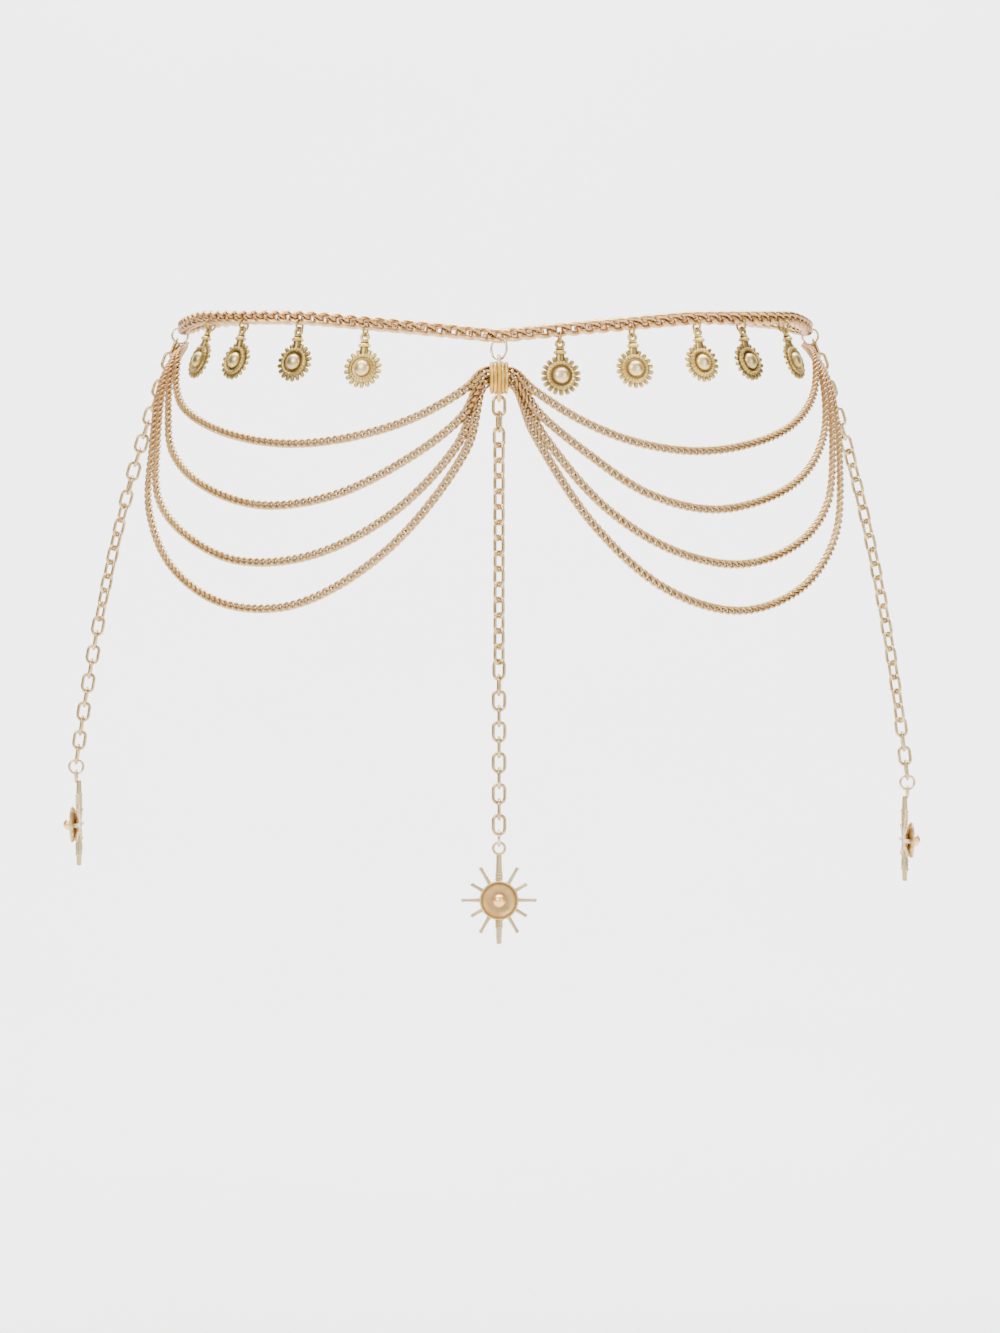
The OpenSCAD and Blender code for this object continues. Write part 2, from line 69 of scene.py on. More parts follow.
# The body that the chain lies on, as in the part's source
WAIST_HALF_W = 0.134
WAIST_FRONT = 0.112
WAIST_BACK = 0.095
HIP_SPREAD = 0.050
BELLY_SPREAD = 0.020
HIP_FADE = 0.110
BELT_DIP = 0.0125
BELT_HEIGHTS = [
    (0, -1), (8, -0.84), (15, -0.7), (22, -0.56), (35, -0.28), (53, -0.08), (67, 0.08),
    (78, 0.02), (86, 0.02), (94, 0.08), (102, 0.24), (110, 0.48), (135, 0.96), (158, 0.84),
    (172, 0.6), (180, 0.5),
]
BELT_PITCH = 0.0061
BELT_LINK_W = 0.0046
# How far a link can slide in the next one
BELT_PLAY = 0.0003
SWAG_PLAY = 0.0002
CHARM_ANGLES = [-63, -49.5, -38, -24.5, 10, 22.5, 36, 48, 62]
# How much paler gold is mixed into each charm
CHARM_PALER_TONE = [0.0, 0.1, 0.0, 0.8, 0.3, 0.9, 0.8, 0.0, 0.05]
# The angle from the front at which the domes' painted shine would end, and the least that is left
SHINE_END = 70
LEAST_SHINE = 0.15
# The depths below the waist between which a charm leans with the body
CHARM_TOP = 0.004
CHARM_LOW = 0.024

# The four swags: angle from the front in degrees and depth below the waist in millimetres
SWAG_ROUTES = [
    [(-72, 16), (-66.5, 29), (-60, 38.5), (-47, 49.3), (-34, 54.8), (-23, 53), (-13, 45.5),
     (-5.2, 33.9), (5.2, 34), (12, 45.7), (20, 54.3), (30, 58), (41, 54.8), (53, 45.8),
     (64.5, 31), (73, 15)],
    [(-75, 18), (-67.3, 38), (-61, 55.5), (-50, 70.5), (-37, 79.5), (-25, 76.5), (-14.5, 63.5),
     (-5.6, 45), (6, 43.4), (13.5, 60.5), (22, 75.5), (32, 81.5), (44, 76), (54.5, 64.5),
     (65, 45.5), (74, 20)],
    [(-77, 24), (-68, 52), (-62.5, 74), (-53, 89.5), (-40, 101.8), (-27, 100),
     (-15.5, 84), (-6.2, 56.5), (6.5, 52), (15, 80.5), (25, 98), (36, 103.5), (48, 95.5),
     (58.5, 78.5), (66, 54), (76, 24)],
    [(-80, 27), (-70.7, 52), (-65, 79), (-54, 104.3), (-41, 119.6), (-28.5, 119.3),
     (-15.5, 97.5), (-4.8, 58), (5.2, 52), (13.5, 88.5), (23.5, 113.5), (35, 122.3),
     (48, 113), (59.5, 91), (67.5, 61), (79, 27)],
]
# Where each swag's tip meets a side ring, in degrees from the ring's lowest point
TIP_TURNS = [-41, -24, -7, 10]
# The gather ring's hoops, and the swags where they are narrow
PLAY = 0.00015
CENTRE_RING_WIRE = 0.001
HOOP_WIRE = 0.0016
HOOP_INNER_W = 0.0056
SIDE_HOOPS = 2
HOOP_PITCH = HOOP_WIRE * 0.94
SWAG_NECK = 0.0018
SWAG_TIP = 0.0012
# How far from their tips and from the gather ring the swags get painted warm shade, and how much
WARM_SHADE_TIP = 0.100
WARM_SHADE_HUB = 0.040
TIP_TINT = 1.6
HUB_TINT = 0.45
# The angle on each side where the belt's painted warm shade is deepest, and how far from it that
# fades
BELT_SHADE_ANGLE = 84
BELT_SHADE_SPREAD = 46
# The swags' share of their width where they are drawn in, and over what length they widen
DRAWN_IN = 0.6
TAPER_TIP = 0.050
TAPER_HUB = 0.030

# Where the rings and the gather ring sit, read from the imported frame
SIDE_BOXES = {-1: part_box("side_ring_left"), 1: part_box("side_ring_right")}
GATHER_LOW, GATHER_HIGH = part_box("gather_ring")
GATHER_Y = (GATHER_LOW.y + GATHER_HIGH.y) / 2


class ChainSizes(bpy.types.PropertyGroup):
    """Sizes of the chains' links"""
    belt_wire: bpy.props.FloatProperty(
        name="Belt wire", description="Thickness of a belt link's wire",
        default=0.0022, unit="LENGTH")
    belt_w: bpy.props.FloatProperty(
        name="Belt width", description="Width of a belt link along its wire's middle",
        default=0.0039, unit="LENGTH")
    belt_twist: bpy.props.FloatProperty(
        name="Belt twist", description="How far a belt link's wire stands out of its plane",
        default=0.0012, unit="LENGTH")
    swag_pitch: bpy.props.FloatProperty(
        name="Swag pitch", description="Distance from one swag link to the next",
        default=0.0029, unit="LENGTH")
    swag_wire: bpy.props.FloatProperty(
        name="Swag wire", description="Thickness of a swag link's wire",
        default=0.00135, unit="LENGTH")
    swag_w: bpy.props.FloatProperty(
        name="Swag width", description="Width of a swag link along its wire's middle",
        default=0.0025, unit="LENGTH")
    swag_twist: bpy.props.FloatProperty(
        name="Swag twist", description="How far a swag link's wire stands out of its plane",
        default=0.00085, unit="LENGTH")


class OrnamentSizes(bpy.types.PropertyGroup):
    """Sizes of the charms and stars"""
    sun_d: bpy.props.FloatProperty(
        name="Charm width", description="Width of a sun charm over its teeth",
        default=0.0164, unit="LENGTH")
    sun_teeth: bpy.props.IntProperty(
        name="Charm teeth", description="Number of teeth round a sun charm", default=18)
    star_cup_d: bpy.props.FloatProperty(
        name="Star cup", description="Width of the cup in the middle of a star",
        default=0.0158, unit="LENGTH")
    star_bead_d: bpy.props.FloatProperty(
        name="Star bead", description="Width of the bead in the middle of a star",
        default=0.0054, unit="LENGTH")


class MetalColours(bpy.types.PropertyGroup):
    """Colours of the metal finishes, and of the painted shade, highlights and reflections laid on
    them
    """
    chain: bpy.props.FloatVectorProperty(
        name="Belt gold", description="Rosy gold of the belt and rings",
        subtype="COLOR", default=(0.80, 0.50, 0.24))
    swag: bpy.props.FloatVectorProperty(
        name="Swag gold", description="Tan gold of the swags",
        subtype="COLOR", default=(0.66, 0.44, 0.19))
    drop: bpy.props.FloatVectorProperty(
        name="Drop gold", description="Greyer gold of the long drops",
        subtype="COLOR", default=(0.64, 0.47, 0.22))
    # Random mottling of the metals, and painted shade between the chains' links through the hollow
    # tint
    shade: bpy.props.FloatVectorProperty(
        name="Chain shade", description="Darker tone in the chains' rubbed places",
        subtype="COLOR", default=(0.30, 0.17, 0.06))
    # Painted warm shade and bounce light: on the belt's sides and on the swags near their tips and
    # the gather ring
    bunch: bpy.props.FloatVectorProperty(
        name="Bunch gold", description="Orange gold of the swags where they lie together",
        subtype="COLOR", default=(0.34, 0.17, 0.05))
    antique: bpy.props.FloatVectorProperty(
        name="Antique gold", description="Olive gold of the charms",
        subtype="COLOR", default=(0.48, 0.34, 0.09))
    patina: bpy.props.FloatVectorProperty(
        name="Patina", description="Dark tone in the charms' hollows",
        subtype="COLOR", default=(0.20, 0.13, 0.05))
    # The domes' polished gold, partly a painted reflection that fades towards the sides
    dome: bpy.props.FloatVectorProperty(
        name="Dome gold", description="Peach gold of the charms' domes",
        subtype="COLOR", default=(0.90, 0.69, 0.38))
    # Paler gold mixed into some of the charms
    worn: bpy.props.FloatVectorProperty(
        name="Worn gold", description="Paler gold of the charms that are rubbed bright",
        subtype="COLOR", default=(0.84, 0.60, 0.17))
    ring: bpy.props.FloatVectorProperty(
        name="Ring gold", description="Pale gold of the rings",
        subtype="COLOR", default=(0.84, 0.63, 0.40))
    hub: bpy.props.FloatVectorProperty(
        name="Gather gold", description="Yellow gold of the ring that gathers the swags",
        subtype="COLOR", default=(0.90, 0.56, 0.12))
    star: bpy.props.FloatVectorProperty(
        name="Star gold", description="Pale matte gold of the stars",
        subtype="COLOR", default=(0.70, 0.56, 0.27))
    # Painted shade on a star's rays and in the grooves between their ribs
    ray_painted_shade: bpy.props.FloatVectorProperty(
        name="Ray gold", description="Greyer gold of a star's rays",
        subtype="COLOR", default=(0.46, 0.33, 0.17))
    # Painted shade on a star's plate, on the cup's foot and floor and round the bead's foot
    back: bpy.props.FloatVectorProperty(
        name="Plate brown", description="Brown gold of a star's plate",
        subtype="COLOR", default=(0.34, 0.16, 0.05))
    # The bead's polished gold, partly a painted highlight
    bead: bpy.props.FloatVectorProperty(
        name="Bead gold", description="Bright gold of a star's bead",
        subtype="COLOR", default=(0.99, 0.60, 0.22))


# The body's surface and the belt's line
def belt_height(angle):
    turn = abs(angle)
    for (a, z), (b, y) in zip(BELT_HEIGHTS, BELT_HEIGHTS[1:]):
        if a <= turn <= b:
            return BELT_DIP * (z + (y - z) * (turn - a) / (b - a))
    return BELT_DIP * BELT_HEIGHTS[-1][1]


def on_body(angle, depth):
    """A point on the body, from its angle from the front in degrees and its depth in metres."""
    spread = 1 - math.exp(-max(depth, 0) / HIP_FADE)
    turn = math.radians(angle)
    reach = WAIST_FRONT + BELLY_SPREAD * spread if abs(angle) <= 90 else WAIST_BACK
    return Vector(((WAIST_HALF_W + HIP_SPREAD * spread) * math.sin(turn),
                   -reach * math.cos(turn), -depth))


def belt_at(angle):
    point = on_body(angle, 0)
    point.z = belt_height(angle)
    return point


def belt_arcs():
    """Length along the belt from the front at each whole degree up to 180."""
    arcs = [0.0]
    for degree in range(180):
        arcs.append(arcs[-1] + (belt_at(degree + 1) - belt_at(degree)).length)
    return arcs


ARCS = belt_arcs()
HALF_LINKS = round(ARCS[-1] / BELT_PITCH)
BELT_STEP = ARCS[-1] / HALF_LINKS


def link_angle(number):
    """Angle from the front of belt link number, counted from the front one."""
    reach = abs(number) * BELT_STEP
    for degree in range(180):
        if ARCS[degree + 1] >= reach:
            part = (reach - ARCS[degree]) / (ARCS[degree + 1] - ARCS[degree])
            return math.copysign(degree + part, number)
    return math.copysign(180, number)


def link_frame(number):
    """Middle, direction along the belt, direction out of the body and up of one belt link."""
    angle = link_angle(number)
    along = (belt_at(angle + 1) - belt_at(angle - 1)).normalized()
    out = along.cross(UP).normalized()
    return belt_at(angle), along, out, out.cross(along)


def link_near(angle):
    degree = int(abs(angle))
    reach = ARCS[degree] + (abs(angle) - degree) * (ARCS[degree + 1] - ARCS[degree])
    return int(math.copysign(round(reach / BELT_STEP), angle))


# Meshes
def new_mesh_object(name, vertices, faces=()):
    mesh = bpy.data.meshes.new(name)
    mesh.from_pydata(vertices, [], list(faces))
    piece = bpy.data.objects.new(name, mesh)
    bpy.context.scene.collection.objects.link(piece)
    return piece


def finish_mesh(piece):
    """Merges doubles, points the faces outwards and shades the piece smooth up to an angle."""
    bm = bmesh.new()
    bm.from_mesh(piece.data)
    bmesh.ops.remove_doubles(bm, verts=bm.verts, dist=1e-7)
    bmesh.ops.recalc_face_normals(bm, faces=bm.faces)
    bm.to_mesh(piece.data)
    bm.free()
    piece.data.shade_smooth()
    piece.data.set_sharp_from_angle(angle=math.radians(SMOOTH_ANGLE))


class MeshParts:
    """Collects rings of points into one mesh, with the strength of each tint at each point."""

    def __init__(self):
        self.points, self.faces = [], []
        self.tints = {"worn": [], "bright": [], "hollow": [], "dark": []}

    def add_rings(self, rings, closed_path=False, caps=True, **tints):
        """Skins equally long closed rings of points; a tint is one value or one for each ring."""
        start = len(self.points)
        count, sides = len(rings), len(rings[0])
        for k, ring in enumerate(rings):
            self.points.extend(ring)
            for label, values in self.tints.items():
                value = tints.get(label, 0.0)
                values.extend([value[k] if isinstance(value, list) else value] * sides)
        for k in range(count if closed_path else count - 1):
            for j in range(sides):
                a = start + k * sides + j
                b = start + k * sides + (j + 1) % sides
                c = start + ((k + 1) % count) * sides + (j + 1) % sides
                d = start + ((k + 1) % count) * sides + j
                self.faces.append((a, b, c, d))
        if caps and not closed_path:
            self.faces.append([start + j for j in range(sides)][::-1])
            self.faces.append([start + (count - 1) * sides + j for j in range(sides)])

    def turned(self, rows, sides, centre, **values):
        """A turned shape about the front axis: rows of (radius, height towards the front)."""
        rings = []
        for radius, height in rows:
            ring = []
            for j in range(sides):
                a = 2 * math.pi * j / sides
                u, v = radius * math.cos(a), radius * math.sin(a)
                ring.append(centre + Vector((u, -height, v)))
            rings.append(ring)
        self.add_rings(rings, **values)

    def tube(self, line, radii, sides=8, closed=False, **values):
        """A round tube along a line of points, with a radius for each point or one for all."""
        rings = []
        count = len(line)
        side = None
        for k, point in enumerate(line):
            after = line[(k + 1) % count] if closed else line[min(k + 1, count - 1)]
            before = line[k - 1] if closed or k else line[0]
            way = (after - before).normalized()
            if side is None:
                side = way.cross(UP if abs(way.z) < 0.9 else Vector((0, 1, 0)))
            side = (side - way * side.dot(way)).normalized()
            face = way.cross(side)
            radius = radii[k] if isinstance(radii, (list, tuple)) else radii
            rings.append([point + radius * (math.cos(2 * math.pi * j / sides) * side
                                            + math.sin(2 * math.pi * j / sides) * face)
                          for j in range(sides)])
        self.add_rings(rings, closed_path=closed, **values)

    def to_object(self, name, place):
        piece = new_mesh_object(name, [place @ p for p in self.points], self.faces)
        for label, values in self.tints.items():
            layer = piece.data.attributes.new(label, "FLOAT", "POINT")
            layer.data.foreach_set("value", values)
        return piece


def round_line(radius, steps, centre=Vector()):
    """Points round an upright circle that faces the front."""
    return [centre + Vector((radius * math.cos(2 * math.pi * k / steps), 0,
                             radius * math.sin(2 * math.pi * k / steps)))
            for k in range(steps)]


# Metal finishes
def add_node(tree, kind, **values):
    """A new node with some of its inputs set."""
    node = tree.nodes.new(kind)
    for label, value in values.items():
        node.inputs[label.replace("_", " ")].default_value = value
    return node


def mix_colours(tree, share, below, colour):
    """Mixes a colour over the one below, which is a socket or a plain colour."""
    mix = tree.nodes.new("ShaderNodeMix")
    mix.data_type = "RGBA"
    if isinstance(below, bpy.types.NodeSocket):
        tree.links.new(below, mix.inputs["A"])
    else:
        mix.inputs["A"].default_value = (*below, 1)
    mix.inputs["B"].default_value = (*colour, 1)
    tree.links.new(share, mix.inputs["Factor"])
    return mix.outputs["Result"]


def metal(name, colour, shade, roughness, bump=0.05, mottling=0.35, **tints):
    """A metal with mottled tone, fine scratches in its gloss and bump, and tints.

    Each tint is named for the attribute that spreads it over the piece.
    """
    made = bpy.data.materials.get(name)
    if made:
        return made
    made = bpy.data.materials.new(name)
    made.use_nodes = True
    tree, links = made.node_tree, made.node_tree.links
    shader = tree.nodes["Principled BSDF"]
    shader.inputs["Metallic"].default_value = 1.0
    places = tree.nodes.new("ShaderNodeTexCoord")
    cloud = add_node(tree, "ShaderNodeTexNoise", Scale=METAL_GRAIN / 3, Detail=4)
    fine = add_node(tree, "ShaderNodeTexNoise", Scale=METAL_GRAIN * 3, Detail=3)
    for noise in (cloud, fine):
        links.new(places.outputs["Object"], noise.inputs["Vector"])
    patches = tree.nodes.new("ShaderNodeValToRGB")
    patches.color_ramp.elements[0].position = 0.35
    patches.color_ramp.elements[1].position = 0.62
    links.new(cloud.outputs["Fac"], patches.inputs["Fac"])
    mottle = tree.nodes.new("ShaderNodeMath")
    mottle.operation = "MULTIPLY"
    mottle.inputs[1].default_value = mottling
    links.new(patches.outputs["Color"], mottle.inputs[0])
    last = mix_colours(tree, mottle.outputs["Value"], colour, shade)
    for label, other in tints.items():
        layer = tree.nodes.new("ShaderNodeAttribute")
        layer.attribute_name = label
        last = mix_colours(tree, layer.outputs["Fac"], last, other)
    links.new(last, shader.inputs["Base Color"])
    gloss = add_node(tree, "ShaderNodeMapRange", To_Min=roughness * 0.8,
                     To_Max=roughness * 1.25)
    links.new(cloud.outputs["Fac"], gloss.inputs["Value"])
    links.new(gloss.outputs["Result"], shader.inputs["Roughness"])
    relief = add_node(tree, "ShaderNodeBump", Strength=bump, Distance=0.0001)
    links.new(fine.outputs["Fac"], relief.inputs["Height"])
    links.new(relief.outputs["Normal"], shader.inputs["Normal"])
    return made


def belt_metal():
    colours = bpy.context.scene.metal_colours
    # Painted warm shade at the belt's sides, and painted shade between the links in the hollow
    # tint
    return metal("belt_rosy_gold", colours.chain, colours.shade, 0.28, mottling=0.4,
                 bunch=colours.bunch, hollow=colours.shade)


def swag_metal():
    colours = bpy.context.scene.metal_colours
    # Painted warm shade near the swags' tips and the gather ring, and painted shade between the
    # links in the hollow tint
    return metal("swag_tan_gold", colours.swag, colours.shade, 0.28, mottling=0.4,
                 bunch=colours.bunch, hollow=colours.shade)


def drop_metal():
    colours = bpy.context.scene.metal_colours
    return metal("drop_grey_gold", colours.drop, colours.shade, 0.25, mottling=0.5)


def ring_metal():
    colours = bpy.context.scene.metal_colours
    return metal("ring_pale_gold", colours.ring, colours.shade, 0.22, mottling=0.25)


def tint_above(material, low, high, colour):
    """Mixes a colour in from one height to another."""
    tree, links = material.node_tree, material.node_tree.links
    shader = tree.nodes["Principled BSDF"]
    before = shader.inputs["Base Color"].links[0].from_socket
    places = tree.nodes.new("ShaderNodeTexCoord")
    split = tree.nodes.new("ShaderNodeSeparateXYZ")
    links.new(places.outputs["Object"], split.inputs["Vector"])
    share = add_node(tree, "ShaderNodeMapRange", From_Min=low, From_Max=high)
    links.new(split.outputs["Z"], share.inputs["Value"])
    links.new(mix_colours(tree, share.outputs["Result"], before, colour),
              shader.inputs["Base Color"])


def hub_metal():
    """Yellow gold that is pale at the top, where the hoops catch the light."""
    colours = bpy.context.scene.metal_colours
    made = metal("gather_yellow_gold", colours.hub, colours.patina, 0.34, mottling=0.45)
    tint_above(made, GATHER_HIGH.z - 0.0055, GATHER_HIGH.z - 0.0040, colours.ring)
    return made


def charm_metal():
    colours = bpy.context.scene.metal_colours
    # Tints: paler tone, the domes' polished gold with painted reflection (bright), and patina in
    # the hollows
    return metal("charm_antique_gold", colours.antique, colours.patina, 0.36, mottling=0.5,
                 worn=colours.worn, bright=colours.dome, hollow=colours.patina)


def star_metal():
    colours = bpy.context.scene.metal_colours
    # Tints: the bead's gold with painted highlight (bright), painted shade on the rays (hollow),
    # painted shade on the plate and cup (dark)
    return metal("star_pale_gold", colours.star, colours.shade, 0.38, bump=0.12,
                 mottling=0.3, bright=colours.bead, hollow=colours.ray_painted_shade, dark=colours.back)


def set_node_metal(node, material):
    """Gives a CAD node that stays in view a better material in every slot."""
    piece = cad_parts[node]
    if not piece.material_slots:
        piece.data.materials.append(material)
    for holder in piece.material_slots:
        holder.material = material


# The link tree: a twisted or plain oval link on every point of a line
def link_tree():
    """Geometry Nodes that put one wire link on each point, by its along and out attributes."""
    made = bpy.data.node_groups.get("Wire links")
    if made:
        return made
    made = bpy.data.node_groups.new("Wire links", "GeometryNodeTree")
    face = made.interface
    face.new_socket("Geometry", in_out="INPUT", socket_type="NodeSocketGeometry")
    for label, value in (("Length", 0.0078), ("Width", 0.0045), ("Twist", 0.001),
                         ("Wire", 0.0015)):
        socket = face.new_socket(label, in_out="INPUT", socket_type="NodeSocketFloat")
        socket.default_value = value
        socket.subtype = "DISTANCE"
    for label, value in (("Rings", 20), ("Sides", 8)):
        socket = face.new_socket(label, in_out="INPUT", socket_type="NodeSocketInt")
        socket.default_value = value
    face.new_socket("Metal", in_out="INPUT", socket_type="NodeSocketMaterial")
    face.new_socket("Geometry", in_out="OUTPUT", socket_type="NodeSocketGeometry")
    nodes, links = made.nodes, made.links
    given = nodes.new("NodeGroupInput")
    result = nodes.new("NodeGroupOutput")

    def math_node(operation, a, b=None):
        node = nodes.new("ShaderNodeMath")
        node.operation = operation
        for socket, value in zip(node.inputs, (a, b)):
            if value is None:
                continue
            if isinstance(value, (int, float)):
                socket.default_value = value
            else:
                links.new(value, socket)
        return node.outputs["Value"]

    circle = nodes.new("GeometryNodeCurvePrimitiveCircle")
    links.new(given.outputs["Rings"], circle.inputs["Resolution"])
    index = nodes.new("GeometryNodeInputIndex")
    turn = math_node("MULTIPLY", math_node("DIVIDE", index.outputs["Index"],
                                           given.outputs["Rings"]), 2 * math.pi)
    cosine, sine = math_node("COSINE", turn), math_node("SINE", turn)
    x = math_node("MULTIPLY", cosine, math_node("MULTIPLY", given.outputs["Length"], 0.5))
    y = math_node("MULTIPLY", math_node("MULTIPLY", sine, given.outputs["Width"]), 0.5)
    z = math_node("MULTIPLY", math_node("SINE", math_node("MULTIPLY", turn, 2)),
                  given.outputs["Twist"])
    spot = nodes.new("ShaderNodeCombineXYZ")
    for socket, value in zip(spot.inputs, (x, y, z)):
        links.new(value, socket)
    bend = nodes.new("GeometryNodeSetPosition")
    links.new(circle.outputs["Curve"], bend.inputs["Geometry"])
    links.new(spot.outputs["Vector"], bend.inputs["Position"])
    section = nodes.new("GeometryNodeCurvePrimitiveCircle")
    links.new(given.outputs["Sides"], section.inputs["Resolution"])
    links.new(math_node("MULTIPLY", given.outputs["Wire"], 0.5), section.inputs["Radius"])
    wire = nodes.new("GeometryNodeCurveToMesh")
    links.new(bend.outputs["Geometry"], wire.inputs["Curve"])
    links.new(section.outputs["Curve"], wire.inputs["Profile Curve"])
    smooth = nodes.new("GeometryNodeSetShadeSmooth")
    links.new(wire.outputs["Mesh"], smooth.inputs["Geometry"])
    # Painted shade near the chain's middle line, where the links pass through each other
    spots = nodes.new("GeometryNodeInputPosition")
    sides = nodes.new("ShaderNodeSeparateXYZ")
    links.new(spots.outputs["Position"], sides.inputs["Vector"])
    inward = add_node(made, "ShaderNodeMapRange", From_Min=0.20, From_Max=0.90, To_Min=0.60,
                      To_Max=0.0)
    links.new(math_node("DIVIDE", math_node("ABSOLUTE", sides.outputs["Y"]),
                        math_node("MULTIPLY", given.outputs["Width"], 0.5)),
              inward.inputs["Value"])
    shaded = nodes.new("GeometryNodeStoreNamedAttribute")
    shaded.data_type = "FLOAT"
    shaded.domain = "POINT"
    shaded.inputs["Name"].default_value = "hollow"
    links.new(smooth.outputs["Geometry"], shaded.inputs["Geometry"])
    links.new(inward.outputs["Result"], shaded.inputs["Value"])

    directions = []
    for label in ("along", "out"):
        named = nodes.new("GeometryNodeInputNamedAttribute")
        named.data_type = "FLOAT_VECTOR"
        named.inputs["Name"].default_value = label
        directions.append(named.outputs["Attribute"])
    facing = nodes.new("FunctionNodeAxesToRotation")
    facing.primary_axis = "X"
    facing.secondary_axis = "Z"
    links.new(directions[0], facing.inputs["Primary Axis"])
    links.new(directions[1], facing.inputs["Secondary Axis"])
    size = nodes.new("GeometryNodeInputNamedAttribute")
    size.data_type = "FLOAT_VECTOR"
    size.inputs["Name"].default_value = "size"
    spread = nodes.new("GeometryNodeInstanceOnPoints")
    links.new(given.outputs["Geometry"], spread.inputs["Points"])
    links.new(shaded.outputs["Geometry"], spread.inputs["Instance"])
    links.new(facing.outputs["Rotation"], spread.inputs["Rotation"])
    links.new(size.outputs["Attribute"], spread.inputs["Scale"])
    real = nodes.new("GeometryNodeRealizeInstances")
    links.new(spread.outputs["Instances"], real.inputs["Geometry"])
    painted = nodes.new("GeometryNodeSetMaterial")
    links.new(real.outputs["Geometry"], painted.inputs["Geometry"])
    links.new(given.outputs["Metal"], painted.inputs["Material"])
    links.new(painted.outputs["Geometry"], result.inputs["Geometry"])
    return made


def chain_of_links(name, places, material, **sizes):
    """One mesh of links at places, each a middle, an along, an out, a size and a tint."""
    carrier = new_mesh_object(name + "_points", [p[0] for p in places])
    for label, column in (("along", 1), ("out", 2)):
        layer = carrier.data.attributes.new(label, "FLOAT_VECTOR", "POINT")
        layer.data.foreach_set("vector", [c for p in places for c in p[column]])
    layer = carrier.data.attributes.new("size", "FLOAT_VECTOR", "POINT")
    layer.data.foreach_set("vector", [c for p in places for c in (1.0, p[3], p[3])])
    # Share of painted warm shade at each link
    layer = carrier.data.attributes.new("bunch", "FLOAT", "POINT")
    layer.data.foreach_set("value", [p[4] for p in places])
    modifier = carrier.modifiers.new("Links", "NODES")
    modifier.node_group = link_tree()
    identifiers = {item.name: item.identifier for item in modifier.node_group.interface.items_tree
                   if item.item_type == "SOCKET" and item.in_out == "INPUT"}
    for label, value in sizes.items():
        modifier[identifiers[label]] = value
    modifier[identifiers["Metal"]] = material
    carrier.update_tag()
    graph = bpy.context.evaluated_depsgraph_get()
    mesh = bpy.data.meshes.new_from_object(carrier.evaluated_get(graph))
    bpy.data.objects.remove(carrier)
    mesh.name = name
    piece = bpy.data.objects.new(name, mesh)
    bpy.context.scene.collection.objects.link(piece)
    if not mesh.materials:
        mesh.materials.append(material)
    return piece


# Smooth lines through chosen points
def smooth_line(points):
    """A line that passes smoothly through the points, by centripetal spans."""
    padded = [2 * points[0] - points[1], *points, 2 * points[-1] - points[-2]]
    line = []
    for p0, p1, p2, p3 in zip(padded, padded[1:], padded[2:], padded[3:]):
        t1 = (p1 - p0).length ** 0.5
        t2 = t1 + (p2 - p1).length ** 0.5
        t3 = t2 + (p3 - p2).length ** 0.5
        for k in range(SPAN_POINTS):
            t = t1 + (t2 - t1) * k / SPAN_POINTS
            a1 = p0 * ((t1 - t) / t1) + p1 * (t / t1)
            a2 = p1 * ((t2 - t) / (t2 - t1)) + p2 * ((t - t1) / (t2 - t1))
            a3 = p2 * ((t3 - t) / (t3 - t2)) + p3 * ((t - t2) / (t3 - t2))
            b1 = a1 * ((t2 - t) / t2) + a2 * (t / t2)
            b2 = a2 * ((t3 - t) / (t3 - t1)) + a3 * ((t - t1) / (t3 - t1))
            line.append(b1 * ((t2 - t) / (t2 - t1)) + b2 * ((t - t1) / (t2 - t1)))
    line.append(points[-1].copy())
    return line


def even_places(line, pitch):
    """Points a pitch apart along a line, with the direction of the line at each."""
    lengths = [0.0]
    for a, b in zip(line, line[1:]):
        lengths.append(lengths[-1] + (b - a).length)
    count = max(2, round(lengths[-1] / pitch))
    step = lengths[-1] / count
    places, k = [], 0
    for n in range(count):
        reach = (n + 0.5) * step
        while lengths[k + 1] < reach:
            k += 1
        part = (reach - lengths[k]) / (lengths[k + 1] - lengths[k])
        places.append((line[k].lerp(line[k + 1], part), (line[k + 1] - line[k]).normalized()))
    return places, step


def swag_line(number):
    """The route of one swag, from the left side ring through the gather ring to the right."""
    ring_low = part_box("centre_ring")[0].z + CENTRE_RING_WIRE / 2
    hoop_top = ring_low - (CENTRE_RING_WIRE + HOOP_WIRE) / 2 - PLAY
    strand_top = hoop_top - (HOOP_INNER_W + HOOP_WIRE) / 2 + SWAG_NECK / 2
    rows = SWAG_ROUTES[number]
    half = len(rows) // 2
    points = {}
    for side in (-1, 1):
        low, high = SIDE_BOXES[side]
        middle, reach = (low + high) / 2, (high.z - low.z) / 2
        turn = math.radians(TIP_TURNS[number])
        radius = reach + SWAG_TIP / 2 + 2 * PLAY
        tip = Vector((middle.x + side * radius * math.sin(turn), middle.y,
                      middle.z - radius * math.cos(turn)))
        passing = Vector((side * (SIDE_HOOPS + 1.5) * HOOP_PITCH,
                          GATHER_Y + (0.5 - number % 2) * HOOP_INNER_W / 2,
                          strand_top - number * (SWAG_NECK + 2 * PLAY)))
        points[side] = (tip, passing)
    on_route = [on_body(angle, depth * MM) for angle, depth in rows]
    return [points[-1][0], *on_route[:half], points[-1][1], points[1][1], *on_route[half:],
            points[1][0]]


